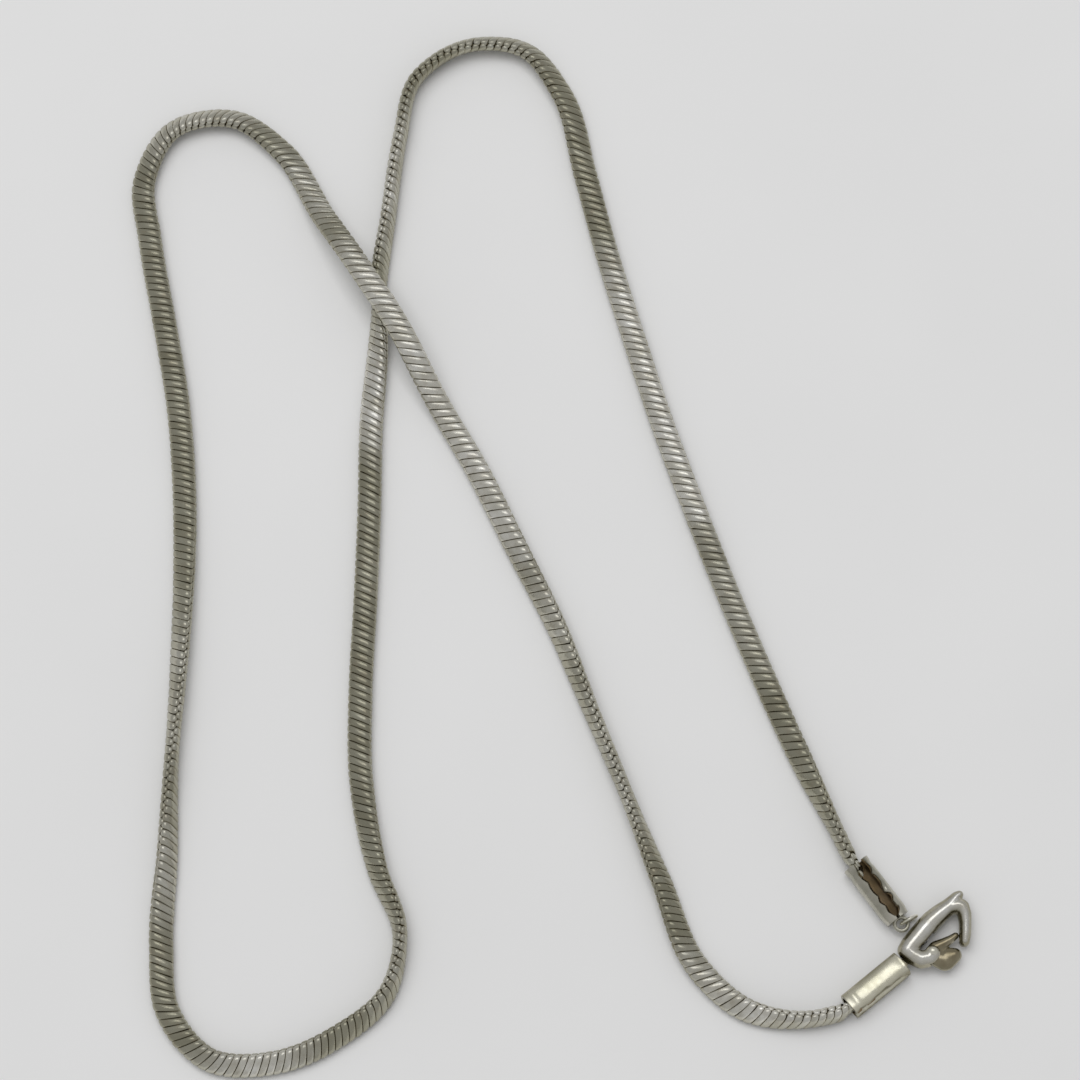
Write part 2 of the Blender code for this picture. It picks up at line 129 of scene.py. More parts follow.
# Lobster clasp, mm in its own plane: x and y of circles along each limb, and their radii
CLASP_HEADING = 50.0
CLASP_HEIGHT = 1.3
CLASP_HALF = 1.27
SPINE_CIRCLES = (
    (1.45, -1.5, 1.08), (0.9, -1.5, 1.06), (0.2, -0.95, 1.06), (0.0, -0.1, 1.08),
    (-0.02, 0.72, 1.06), (0.7, 0.78, 1.14), (2.8, 0.77, 1.16), (4.1, 0.74, 1.12),
    (5.3, 0.55, 1.03), (6.4, 0.3, 0.92), (7.2, 0.3, 0.72), (7.85, 0.33, 0.56), (8.2, 0.22, 0.46),
)
LIMB_CIRCLES = (
    (6.4, 0.3, 0.85), (7.2, -0.35, 0.9), (7.35, -0.8, 0.86), (7.0, -1.45, 0.76),
    (6.25, -2.15, 0.68), (5.3, -2.88, 0.66), (4.65, -3.3, 0.58),
)
BAR_CIRCLES = (
    (1.55, -1.45, 0.82), (2.2, -1.35, 0.7), (3.1, -1.75, 0.58), (3.9, -2.05, 0.46),
    (4.55, -2.2, 0.36),
)
TAB_CIRCLES = (
    (1.55, -1.45, 0.82), (1.4, -2.3, 0.92), (1.75, -3.0, 1.12), (2.35, -3.12, 1.04),
    (2.82, -3.38, 0.82),
)
LEVER_HALF = 0.54
PIVOT = (1.55, -1.45)
SPRING_AT = (1.95, 0.1, 0.0)
CAST_STEP = 0.11  # between neighbouring ellipsoids
CAST_VOXEL = 0.075
CAST_SMOOTHING = 5

# Camera and studio
AIM = Vector((-0.356 * MM, -0.064 * MM, 0))
CAMERA_DISTANCE = 0.400
CAMERA_ELEVATION = math.radians(75)
VIEW_WIDTH = 0.1183
FLOOR_HALF = 1.5
WORLD_GREY = 0.42
KEY_POWER = 6.0
SOFTBOX_POWER = 0.48


def smooth_curve(points):
    """Rows on one smooth curve through points, whose slopes follow the plan distance."""
    rows = np.array(points, float)
    step = np.linalg.norm(np.diff(rows[:, :2], axis=0), axis=1)
    rate = np.diff(rows, axis=0) / step[:, None]
    slope = np.empty_like(rows)
    weight = step[:-1] + step[1:]
    slope[1:-1] = (rate[:-1] * step[1:, None] + rate[1:] * step[:-1, None]) / weight[:, None]
    slope[0] = rate[0]
    slope[-1] = rate[-1]
    made = []
    for k in range(len(rows) - 1):
        for t in np.arange(STEPS_PER_SPAN) / STEPS_PER_SPAN:
            start = (2 * t**3 - 3 * t**2 + 1) * rows[k] + (3 * t**2 - 2 * t**3) * rows[k + 1]
            bend = (t**3 - 2 * t**2 + t) * slope[k] + (t**3 - t**2) * slope[k + 1]
            made.append(start + step[k] * bend)
    made.append(rows[-1])
    return np.array(made)


def half_height(twist):
    """Half the height of the chain's section when its face is turned by twist."""
    across = CHAIN_WIDTH / 2 * np.sin(twist)
    through = CHAIN_THICKNESS / 2 * np.cos(twist)
    return np.hypot(across, through)


def crossing(plan, along):
    """The two distances along the chain at which its strands cross in plan, under first."""
    half = int(np.searchsorted(along, along[-1] / 2))
    gaps = np.linalg.norm(plan[:half, None] - plan[None, half:], axis=2)
    clear = along[None, half:] - along[:half, None] > 0.1
    gaps = np.where(clear, gaps, np.inf)
    under, over = np.unravel_index(gaps.argmin(), gaps.shape)
    return along[under], along[half + over]


class ChainPath:
    """The chain's centre line, with a frame that carries its section, by distance along it."""

    def __init__(self):
        rows = smooth_curve(ROUTE)
        plan = (rows[:, :2] - np.array(LAYOUT_MIDDLE)) * MM
        twist = np.radians(rows[:, 2])
        steps = np.linalg.norm(np.diff(plan, axis=0), axis=1)
        along = np.concatenate([[0.0], np.cumsum(steps)])
        under, over = crossing(plan, along)
        rise = 2 * half_height(np.interp(under, along, twist)) + STRAND_GAP
        away = np.clip((np.abs(along - over) - HUMP_TOP) / HUMP_RAMP, 0, 1)
        height = half_height(twist) + rise * (1 - away**2 * (3 - 2 * away))
        centre = np.column_stack([plan, height])
        steps = np.linalg.norm(np.diff(centre, axis=0), axis=1)
        self.along = np.concatenate([[0.0], np.cumsum(steps)])
        self.length = self.along[-1]
        self.centre = centre
        ahead = np.gradient(centre, self.along, axis=0)
        ahead /= np.linalg.norm(ahead, axis=1)[:, None]
        left = np.cross([0, 0, 1], ahead)
        left /= np.linalg.norm(left, axis=1)[:, None]
        above = np.cross(ahead, left)
        self.side = left * np.cos(twist)[:, None] + above * np.sin(twist)[:, None]
        self.face = np.cross(ahead, self.side)
        self.ahead = ahead

    def read(self, rows, distance):
        """Rows of vectors at any array of distances."""
        return np.stack([np.interp(distance, self.along, rows[:, k]) for k in range(3)], -1)

    def place(self, distance, side, face):
        """Points at distances along the chain, with offsets across it and out of its face."""
        over = np.clip(distance, 0, self.length)
        centre = self.read(self.centre, over)
        beyond = (distance - over)[..., None] * self.read(self.ahead, over)
        across = self.read(self.side, over) * side[..., None]
        out = self.read(self.face, over) * face[..., None]
        return centre + beyond + across + out


def band_grid():
    """One band's points as (turn round the section, share of half width, depth, groove)."""
    arc = np.radians([-7, -5.5, -2, 4, 11, 20, 32, 48, 68, 90])
    arc = np.concatenate([arc, np.pi - arc[-2::-1]])
    tip = np.clip((np.radians(22) - np.minimum(arc, np.pi - arc)) / np.radians(29), 0, 1)
    width = 0.16 + 0.84 * np.sqrt(np.clip(1 - tip**2, 0, 1))
    neck = np.exp(-(((np.minimum(arc, np.pi - arc) - np.radians(26)) / np.radians(7)) ** 2))
    end_depth = 0.20 * MM * tip**3 + 0.035 * MM * neck
    share = np.array([-1, -0.88, -0.6, 0, 0.6, 0.88, 1])
    crown = np.abs(share) ** 5
    turn = np.repeat(arc[:, None], len(share) + 2, axis=1)
    across = np.column_stack([np.outer(width, share), width * 0.9, -width * 0.9])
    depth = np.column_stack(
        [GROOVE_DEPTH * crown[None, :] + end_depth[:, None]]
        + 2 * [np.full(len(arc), BAND_ROOT)]
    )
    groove = np.column_stack(
        [np.maximum(crown[None, :], (tip**3)[:, None])] + 2 * [np.ones(len(arc))]
    )
    return turn, across, depth, groove


def loft_faces(stations, ring):
    """Faces of a closed ring of points carried through stations, with both ends closed."""
    faces = []
    for j in range(stations - 1):
        for k in range(ring):
            a = j * ring + k
            b = j * ring + (k + 1) % ring
            faces.append((a, b, b + ring, a + ring))
    faces.append(tuple(range(ring - 1, -1, -1)))
    faces.append(tuple((stations - 1) * ring + k for k in range(ring)))
    return faces


def drawn_in(path, distance):
    """The chain's section scale, smaller where it enters an end cap."""
    end = np.minimum(distance, path.length - distance)
    return np.interp(end, [1.3 * MM, 2.2 * MM], [0.70, 1.0])


def oval(turn):
    """Side and face offsets of the chain's section at a turn round it, and the normal there."""
    power = 2 / SECTION_POWER
    cos, sin = np.cos(turn), np.sin(turn)
    a = np.sign(cos) * np.abs(cos) ** power * CHAIN_WIDTH / 2
    b = np.sign(sin) * np.abs(sin) ** power * CHAIN_THICKNESS / 2
    normal = np.stack(
        [
            np.sign(cos) * np.abs(cos) ** (2 - power) / CHAIN_WIDTH,
            np.sign(sin) * np.abs(sin) ** (2 - power) / CHAIN_THICKNESS,
        ],
        -1,
    )
    return a, b, normal / np.linalg.norm(normal, axis=-1)[..., None]


def link_places(path):
    """Where each half link's band sits along the chain, faces in turn."""
    along = np.linspace(0, path.length, 4000)
    rate = 0.5 * (along[1] - along[0]) / (np.interp(along / MM, *zip(*PITCH)) * MM / 2)
    count = np.concatenate([[0], np.cumsum(rate[1:] + rate[:-1])])
    bands = int(count[-1])
    return np.interp(np.arange(bands) + 0.5, count * bands / count[-1], along)


def highlight_strength(distance):
    """How strong the painted highlight is at a distance along the chain."""
    painted_highlight = 0.0
    for low, high, share in HIGHLIGHT_STRETCHES:
        inside = min(distance / MM - low, high - distance / MM)
        painted_highlight = max(painted_highlight, share * float(np.interp(inside, (-3.0, 4.0), (0, 1))))
    return painted_highlight


def links_mesh(name, path, places, low, high, seeds):
    """The bands on both faces between two distances, over a core painted dark as shade, as one mesh.
    """
    turn, across, depth, groove = band_grid()
    stations, ring = turn.shape
    faces = loft_faces(stations, ring)
    points, quads, grooves, marks, highlight_rows = [], [], [], [], []
    for band in np.flatnonzero((places >= low) & (places < high)):
        face = band % 2
        seed = seeds[band]
        middle = places[band]
        pitch = np.interp(middle / MM, *zip(*PITCH)) * MM
        lean = math.tan(math.radians(np.interp(middle / MM, *zip(*LEAN)) + 1.5 * seed[0]))
        scale = drawn_in(path, middle)
        a, b, normal = oval(turn)
        sunk = depth + 0.012 * MM * (1 + seed[1]) + 0.012 * MM * seed[2] * across
        a = (a - sunk * normal[..., 0]) * scale
        b = (b - sunk * normal[..., 1]) * scale
        u = across * pitch / 2 * BAND_FILL + a * lean
        sign = 1 - 2 * face
        placed = path.place(middle + u, sign * a, sign * b)
        base = len(points) * stations * ring
        points.append(placed.reshape(-1, 3))
        grooves.append(groove.ravel())
        marks.append(np.full(stations * ring, 0.5 + 0.5 * seed[3]))
        side_up = path.read(path.side, np.array(middle))[2]
        face_up = path.read(path.face, np.array(middle))[2]
        # painted highlight: on the listed stretches, brighter where the band's face turns up
        facing = np.maximum(sign * (normal[..., 0] * side_up + normal[..., 1] * face_up), 0)
        highlight_rows.append((highlight_strength(middle) * np.clip(0.15 + 1.3 * facing**2, 0, 1)).ravel())
        quads += [tuple(base + v for v in f) for f in faces]
    band_faces = len(quads)
    core_at = np.linspace(max(low, 0), min(high, path.length), CORE_STATIONS)
    around = np.linspace(0, 2 * np.pi, CORE_SIDES, endpoint=False)
    scale = drawn_in(path, core_at)[:, None]
    side = (CHAIN_WIDTH / 2 - CORE_DEPTH) * np.cos(around)[None, :] * scale
    out = (CHAIN_THICKNESS / 2 - CORE_DEPTH) * np.sin(around)[None, :] * scale
    core = path.place(np.repeat(core_at[:, None], CORE_SIDES, 1), side, out)
    base = len(points) * stations * ring
    quads += [tuple(base + v for v in f) for f in loft_faces(CORE_STATIONS, CORE_SIDES)]
    points = np.concatenate(points + [core.reshape(-1, 3)])
    mesh = bpy.data.meshes.new(name)
    mesh.from_pydata(points.tolist(), [], quads)
    count = CORE_STATIONS * CORE_SIDES
    add_attribute(mesh, "groove", np.concatenate(grooves + [np.ones(count)]))
    add_attribute(mesh, "link_mark", np.concatenate(marks + [np.zeros(count)]))
    add_attribute(mesh, "painted_highlight", np.concatenate(highlight_rows + [np.zeros(count)]))
    mesh.polygons.foreach_set(
        "material_index", [0] * band_faces + [1] * (len(quads) - band_faces)
    )
    mesh.shade_smooth()
    mesh.set_sharp_from_angle(angle=math.radians(60))
    return mesh


def add_attribute(mesh, name, values):
    """Stores one number per vertex."""
    attribute = mesh.attributes.new(name, "FLOAT", "POINT")
    attribute.data.foreach_set("value", np.asarray(values, np.float32))


def mark_flat(mesh):
    """Stores how level the surface lies at each vertex, which places the painted highlight on level
    tops.
    """
    normals = np.empty(3 * len(mesh.vertices), np.float32)
    mesh.vertex_normals.foreach_get("vector", normals)
    add_attribute(mesh, "flat", np.abs(normals[2::3]))


class Nodes:
    """Short hand for building one material's nodes."""

    def __init__(self, name):
        self.material = bpy.data.materials.new(name)
        self.material.use_nodes = True
        self.tree = self.material.node_tree
        self.shader = self.tree.nodes["Principled BSDF"]

    def add(self, kind, **settings):
        node = self.tree.nodes.new(kind)
        inputs = settings.pop("inputs", {})
        for key, value in settings.items():
            setattr(node, key, value)
        for key, value in inputs.items():
            if hasattr(value, "is_output"):
                self.tree.links.new(value, node.inputs[key])
            else:
                node.inputs[key].default_value = value
        return node

    def ramp(self, value, stops):
        node = self.add("ShaderNodeValToRGB", inputs={"Fac": value})
        while len(node.color_ramp.elements) < len(stops):
            node.color_ramp.elements.new(0.5)
        for element, (at, colour) in zip(node.color_ramp.elements, stops):
            element.position = at
            element.color = (*colour, 1.0)
        return node.outputs["Color"]

    def noise(self, scale, detail=3.0):
        where = self.add("ShaderNodeTexCoord").outputs["Object"]
        node = self.add(
            "ShaderNodeTexNoise", inputs={"Vector": where, "Scale": scale, "Detail": detail}
        )
        return node.outputs["Fac"]

    def mix(self, amount, one, other, blend="MIX"):
        node = self.add("ShaderNodeMix", data_type="RGBA", blend_type=blend)
        for socket, value in ((0, amount), (6, one), (7, other)):
            if hasattr(value, "is_output"):
                self.tree.links.new(value, node.inputs[socket])
            elif socket:
                node.inputs[socket].default_value = (*value, 1.0)
            else:
                node.inputs[socket].default_value = value
        return node.outputs[2]

    def fit(self, value, low, high, to_low, to_high):
        node = self.add(
            "ShaderNodeMapRange",
            inputs={
                "Value": value, "From Min": low, "From Max": high, "To Min": to_low,
                "To Max": to_high,
            },
        )
        return node.outputs["Result"]

    def link(self, value, socket):
        self.tree.links.new(value, self.shader.inputs[socket])

    def bump(self, height, distance, strength):
        node = self.add(
            "ShaderNodeBump",
            inputs={"Height": height, "Distance": distance, "Strength": strength},
        )
        self.link(node.outputs["Normal"], "Normal")


def chain_silver():
    """Tarnished silver bands with a painted highlight where they face up along some stretches,
    tarnished olive brown down in the grooves.
    """
    n = Nodes("chain_silver")
    n.shader.inputs["Metallic"].default_value = 1.0
    groove = n.add("ShaderNodeAttribute", attribute_name="groove").outputs["Fac"]
    mark = n.add("ShaderNodeAttribute", attribute_name="link_mark").outputs["Fac"]
    painted_highlight = n.add("ShaderNodeAttribute", attribute_name="painted_highlight").outputs["Fac"]
    dull = n.ramp(n.noise(260), [(0.35, (0.38, 0.368, 0.288)), (0.65, (0.47, 0.458, 0.368))])
    # the painted highlight: this colour is mixed in as far as the highlight attribute says, with a
    # little noise
    highlight_colour = n.ramp(n.noise(700), [(0.35, (0.84, 0.82, 0.75)), (0.65, (0.98, 0.97, 0.92))])
    highlight_share = n.add(
        "ShaderNodeMath",
        operation="MULTIPLY_ADD",
        use_clamp=True,
        inputs={0: n.fit(n.noise(420, 2.0), 0.3, 0.7, -0.25, 0.25), 1: painted_highlight, 2: painted_highlight},
    ).outputs[0]
    tone_and_highlight = n.mix(highlight_share, dull, highlight_colour)
    each = n.ramp(mark, [(0.0, (0.84, 0.83, 0.79)), (1.0, (1.0, 1.0, 1.0))])
    tone_and_highlight = n.mix(1.0, tone_and_highlight, each, "MULTIPLY")
    stain = n.fit(n.noise(1500, 4.0), 0.5, 0.8, 0.0, 0.3)
    tone_and_highlight = n.mix(stain, tone_and_highlight, (0.36, 0.29, 0.20))
    deep = n.fit(groove, 0.45, 1.0, 0.0, 1.0)
    n.link(n.mix(deep, tone_and_highlight, (0.30, 0.26, 0.17)), "Base Color")
    rough = n.fit(n.noise(2200, 4.0), 0.3, 0.7, 0.24, 0.34)
    n.link(rough, "Roughness")
    n.bump(n.noise(6000, 5.0), 0.00002, 0.3)
    return n.material


def painted_core_shade():
    """The inside of the chain, painted near black as shade."""
    n = Nodes("chain_inside_painted_shade")
    n.shader.inputs["Metallic"].default_value = 0.6
    shade = n.ramp(n.noise(900), [(0.3, (0.02, 0.016, 0.01)), (0.7, (0.05, 0.04, 0.025))])
    n.link(shade, "Base Color")
    n.shader.inputs["Roughness"].default_value = 0.6
    return n.material


def polished(name, low, high, rough_low, rough_high, sides=None):
    """Polished silver with fine scuffs; if it is given side colours, they go on its steep sides and
    its own colour stays where it lies level, as a painted highlight on its tops.
    """
    n = Nodes(name)
    n.shader.inputs["Metallic"].default_value = 1.0
    colour = n.ramp(n.noise(500, 4.0), [(0.3, low), (0.7, high)])
    if sides:
        # painted highlight: level tops keep the bright colour, steep sides take the side colours
        flat = n.add("ShaderNodeAttribute", attribute_name="flat").outputs["Fac"]
        side_tone = n.ramp(n.noise(700), [(0.35, sides[0]), (0.65, sides[1])])
        colour = n.mix(n.fit(flat, 0.6, 0.98, 0.0, 1.0), side_tone, colour)
    n.link(colour, "Base Color")
    n.link(n.fit(n.noise(1800, 5.0), 0.3, 0.7, rough_low, rough_high), "Roughness")
    n.bump(n.noise(3500, 5.0), 0.00002, 0.3)
    return n.material


def add_piece(name, mesh, *materials):
    """A new object in the scene with its materials."""
    made = bpy.data.objects.new(name, mesh)
    bpy.context.scene.collection.objects.link(made)
    for material in materials:
        mesh.materials.append(material)
    return made


def chain_pieces(path, silver, inside):
    """The chain in lengths that each lie over one hinge but stay fixed where they are made, and one
    rigid length at each end that goes with its run.
    """
    rng = np.random.default_rng(LINK_SEED)
    places = link_places(path)
    seeds = rng.uniform(-1, 1, (len(places), 4))
    run = path.length / RUNS
    for part in range(RUNS + 1):
        low = run * (part - 0.5)
        name = f"snake_links_{part:02d}"
        mesh = links_mesh(name, path, places, low, low + run, seeds)
        piece = add_piece(name, mesh, silver, inside)
        one = f"run_{max(part, 1):02d}"
        other = f"run_{min(part + 1, RUNS):02d}"
        if one == other:
            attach(piece, one)
        else:
            distance = part * run
            ahead = Vector(path.read(path.ahead, np.array(distance)))
            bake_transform(piece)
        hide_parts(f"snake_chain_run_{max(part, 1):02d}")


def joint_place(joint, heading, height):
    """Moves points in mm about a joint, turned by a heading in degrees, to their place."""
    x, y, _ = next(j["pos_m"] for j in frame["joints"] if j["name"] == joint)
    turn = Matrix.Rotation(math.radians(heading), 4, "Z") @ Matrix.Scale(MM, 4)
    return Matrix.Translation((x, y, height * MM)) @ turn


def level(turn):
    """Height on a cap's rounded box section at a turn down from its top, in mm."""
    upright = math.cos(turn)
    return CAP_HEIGHT / 2 * (1 + math.copysign(abs(upright) ** (2 / 3), upright))


def cap_sheet(seed):
    """A cap's folded sheet: its outer skin as a grid of points, mm from the cap's mouth."""
    rng = np.random.default_rng(seed)
    along = np.linspace(0, CAP_LENGTH, 74)
    knots = np.linspace(0, CAP_LENGTH, 13)
    wobble = [np.interp(along, knots, rng.uniform(-1, 1, len(knots))) for _ in (0, 1)]
    rows = []
    mouth = np.exp(-along / 0.5)
    closing = np.clip((along - CAP_LENGTH + 1.1) / 0.9, 0, 1)
    for k, x in enumerate(along):
        pinch = 0.10 * math.exp(-(((x - 0.9) / 0.35) ** 2)) + 0.12 * closing[k] ** 2
        wide = CAP_WIDTH / 2 - pinch + 0.05 * mouth[k]
        halves = []
        for sign, opening, ragged in ((-1, 0.42, wobble[0][k]), (1, 0.72, wobble[1][k])):
            lip = (opening + 0.2 * ragged) * (1 - closing[k])
            dip = 0.40 + 0.2 * ragged + 0.3 * closing[k]
            first = math.asin(min((max(lip + 0.2, 0.1) / wide) ** 1.5, 1.0))
            turns = np.linspace(first, math.pi, 17)[:-1]
            curl = [
                (sign * max(lip, 0.02), CAP_HEIGHT - dip),
                (sign * (lip + 0.09), CAP_HEIGHT - dip / 2),
            ]
            halves.append(curl + [(sign * wide * math.sin(t) ** (2 / 3), level(t)) for t in turns])
        ring = halves[0] + [(0.0, 0.0)] + halves[1][::-1]
        rows.append([(x, y, z) for y, z in ring])
    return np.array(rows)


def cap_shell(rows):
    """The folded sheet's two skins and rims as points, faces and which faces look inwards."""
    stations, ring, _ = rows.shape
    outer = rows.reshape(-1, 3)
    inner = outer - [0, 0, CAP_HEIGHT / 2]
    inner *= [1, 1 - 2 * SHEET / CAP_WIDTH, 1 - 2 * SHEET / CAP_HEIGHT]
    inner[:, 2] += CAP_HEIGHT / 2
    count = len(outer)
    faces = []
    for j in range(stations - 1):
        for k in range(ring - 1):
            a = j * ring + k
            faces.append((a, a + ring, a + ring + 1, a + 1))
            faces.append((count + a, count + a + 1, count + a + ring + 1, count + a + ring))
        for k, turned in ((0, False), (ring - 1, True)):
            a = j * ring + k
            rim = (a, count + a, count + a + ring, a + ring)
            faces.append(rim[::-1] if turned else rim)
    for j, turned in ((0, True), (stations - 1, False)):
        for k in range(ring - 1):
            a = j * ring + k
            rim = (a, count + a, count + a + 1, a + 1)
            faces.append(rim if turned else rim[::-1])
    inside = [face[0] >= count for face in faces]
    return np.concatenate([outer, inner]), faces, inside


def cap_end(outline):
    """The plate that closes a cap, from the outline of the sheet's last station."""
    ring = len(outline)
    backs = [(CAP_LENGTH - SHEET, y * 0.98, z) for _, y, z in outline]
    fronts = [(CAP_LENGTH + 0.02, y * 0.98, 0.02 + 0.985 * z) for _, y, z in outline]
    faces = [(k, k + 1, ring + k + 1, ring + k) for k in range(ring - 1)]
    faces.append(tuple(range(ring - 1, -1, -1)))
    faces.append(tuple(range(ring, 2 * ring)))
    return np.array(backs + fronts), faces


def roll(points, turn):
    """Turns a cap's points about its length in degrees, and fits them to its size again."""
    cos, sin = math.cos(math.radians(turn)), math.sin(math.radians(turn))
    across = points[:, 1] * CAP_HEIGHT / CAP_WIDTH
    up = points[:, 2] - CAP_HEIGHT / 2
    rolled = np.column_stack([points[:, 0], cos * across - sin * up, sin * across + cos * up])
    reached = np.abs(rolled[:, 1:]).max(axis=0)
    fitted = rolled * [1, CAP_WIDTH / 2 / reached[0], CAP_HEIGHT / 2 / reached[1]]
    return fitted + [0, 0, CAP_HEIGHT / 2]


def end_cap(name, body, joint, heading, reach, turn, seed, silver, tarnish):
    """A folded sheet cap with its curled lips, closed end and tab with an eye."""
    rows = cap_sheet(seed)
    points, faces, inside = cap_shell(rows)
    end, end_faces = cap_end(rows[-1])
    faces += [tuple(len(points) + k for k in face) for face in end_faces]
    points = np.concatenate([points, end])
    if turn:
        points = roll(points, turn)
    tab, tab_faces = tab_plate(CAP_LENGTH + reach, reach + SHEET)
    faces += [tuple(len(points) + k for k in face) for face in tab_faces]
    points = np.concatenate([points, tab])
    inside += [False] * (len(faces) - len(inside))  # the end plate and the tab
    mesh = bpy.data.meshes.new(name + "_folded")
    mesh.from_pydata(points.tolist(), [], faces)
    mesh.polygons.foreach_set("material_index", [int(flag) for flag in inside])
    place = joint_place(joint, heading, 0)
    mesh.transform(place @ Matrix.Translation((-CAP_LENGTH - reach, 0, 0)))
    mark_flat(mesh)
    mesh.shade_smooth()
    mesh.set_sharp_from_angle(angle=math.radians(50))
    piece = add_piece(name + "_folded", mesh, silver, tarnish)
    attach(piece, body)
    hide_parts(name)


def tab_plate(centre, back):
    """A flat tab with a round eye at centre, reaching back into the cap."""
    half = TAB_THICKNESS / 2
    edge = (
        (0.0, half), (0.05, half - 0.02), (EYE_EDGE, half - EYE_EDGE),
        (EYE_EDGE, EYE_EDGE - half), (0.05, 0.02 - half), (0.0, -half),
    )
    profile = [(EYE_RADIUS - EYE_EDGE + out, z) for out, z in edge]
    profile += [(EYE_HOLE + EYE_EDGE - out, z) for out, z in edge[::-1]]
    turns = np.linspace(0, 2 * np.pi, 48, endpoint=False)
    points = [
        (centre + r * math.cos(a), r * math.sin(a), EYE_HEIGHT + z)
        for a in turns
        for r, z in profile
    ]
    size = len(profile)
    faces = []
    for j in range(len(turns)):
        for k in range(size):
            a = j * size + k
            b = j * size + (k + 1) % size
            after = (j + 1) % len(turns) * size
            faces.append((a, b, after + (k + 1) % size, after + k))
    base = len(points)
    starts = (centre - back, centre - (EYE_RADIUS + EYE_HOLE) / 2)
    for x, wide in zip(starts, TAB_HALF_WIDTHS):
        for y, z in ((-1, -1), (1, -1), (1, 1), (-1, 1)):
            points.append((x, y * wide, EYE_HEIGHT + z * (half - 0.01)))
    faces += [tuple(base + k for k in face) for face in loft_faces(2, 4)]
    return np.array(points), faces


def wire_ring(silver):
    """The catch ring: round wire whose ends butt together with a nick, opposite the eye."""
    turns = np.linspace(0, 2 * np.pi, 97)
    around = np.linspace(0, 2 * np.pi, 16, endpoint=False)
    points = []
    for turn in turns:
        nick = min(turn, 2 * math.pi - turn) / 0.07
        wire = RING_WIRE * min(1.0, 0.72 + 0.28 * nick)
        reach = RING_RADIUS + wire * np.cos(around)
        for r, across in zip(reach, wire * np.sin(around)):
            x = RING_RADIUS + r * math.cos(turn)
            points.append((x, across, r * math.sin(turn)))
    mesh = bpy.data.meshes.new("catch_ring_wire")
    mesh.from_pydata(points, [], loft_faces(len(turns), len(around)))
    mesh.transform(joint_place("catch_ring_swing", RING_HEADING, EYE_HEIGHT))
    mesh.shade_smooth()
    piece = add_piece("catch_ring_wire", mesh, silver)
    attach(piece, "catch_ring")
    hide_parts("catch_ring")


def ellipsoids(limbs, half):
    """Overlapping ellipsoids along lines of circles, thinner in height where they are narrow."""
    shape = bmesh.new()
    for circles in limbs:
        rows = np.array(circles, float)
        at = np.concatenate([[0], np.cumsum(np.hypot(*np.diff(rows[:, :2], axis=0).T))])
        for u in np.linspace(0, at[-1], int(at[-1] / CAST_STEP) + 2):
            x, y, r = (np.interp(u, at, rows[:, k]) for k in range(3))
            tall = half * (0.72 + 0.28 * min(r / 0.95, 1.0))
            size = Matrix.Diagonal((r, r, tall, 1))
            bmesh.ops.create_icosphere(
                shape, subdivisions=3, radius=1.0, matrix=Matrix.Translation((x, y, 0)) @ size
            )
    mesh = bpy.data.meshes.new("casting")
    shape.to_mesh(mesh)
    shape.free()
    return mesh


def box_tool(low, high):
    """A box between two corners, as a cutter."""
    mesh = bpy.data.meshes.new("cutter")
    shape = bmesh.new()
    bmesh.ops.create_cube(shape, size=1.0)
    bmesh.ops.scale(shape, vec=Vector(high) - Vector(low), verts=shape.verts)
    bmesh.ops.translate(shape, vec=(Vector(high) + Vector(low)) / 2, verts=shape.verts)
    shape.to_mesh(mesh)
    shape.free()
    return bpy.data.objects.new("cutter", mesh)


def rod_tool(radius, length, centre, lying=False):
    """A cylinder, upright or lying along Y, as a cutter."""
    mesh = bpy.data.meshes.new("cutter")
    shape = bmesh.new()
    bmesh.ops.create_cone(
        shape, cap_ends=True, segments=40, radius1=radius, radius2=radius, depth=length
    )
    if lying:
        turn = Matrix.Rotation(math.pi / 2, 3, "X")
        bmesh.ops.rotate(shape, matrix=turn, verts=shape.verts)
    bmesh.ops.translate(shape, vec=Vector(centre), verts=shape.verts)
    shape.to_mesh(mesh)
    shape.free()
    return bpy.data.objects.new("cutter", mesh)


def cast(name, limbs, half, tools):
    """One smooth skin over a casting's ellipsoids, cut by tools, in mm."""
    source = bpy.data.objects.new(name, ellipsoids(limbs, half))
    scene = bpy.context.scene.collection
    for obj in [source, *tools]:
        scene.objects.link(obj)
    skin = source.modifiers.new("skin", "REMESH")
    skin.mode = "VOXEL"
    skin.voxel_size = CAST_VOXEL
    smooth = source.modifiers.new("smooth", "SMOOTH")
    smooth.iterations = CAST_SMOOTHING
    for tool in tools:
        step = source.modifiers.new("cut", "BOOLEAN")
        step.object = tool
        step.operation = "DIFFERENCE"
        step.solver = "EXACT"
    bpy.context.view_layer.update()
    mesh = bpy.data.meshes.new_from_object(
        source.evaluated_get(bpy.context.evaluated_depsgraph_get())
    )
    for obj in [source, *tools]:
        bpy.data.objects.remove(obj)
    mesh.transform(joint_place("clasp_swing", CLASP_HEADING, CLASP_HEIGHT))
    mark_flat(mesh)
    mesh.shade_smooth()
    mesh.set_sharp_from_angle(angle=math.radians(38))
    mesh.name = name
    return mesh


def lathe(name, profile, sides=40):
    """A turned shape about Z from a profile of radius and height, in mm."""
    points = []
    for turn in np.linspace(0, 2 * np.pi, sides, endpoint=False):
        points += [(r * math.cos(turn), r * math.sin(turn), z) for r, z in profile]
    size = len(profile)
    faces = []
    for j in range(sides):
        for k in range(size - 1):
            a = j * size + k
            b = ((j + 1) % sides) * size + k
            faces.append((a, b, b + 1, a + 1))
    faces.append(tuple(j * size for j in range(sides - 1, -1, -1)))
    faces.append(tuple(j * size + size - 1 for j in range(sides)))
    mesh = bpy.data.meshes.new(name)
    mesh.from_pydata(points, [], faces)
    mesh.shade_smooth()
    mesh.set_sharp_from_angle(angle=math.radians(40))
    return mesh


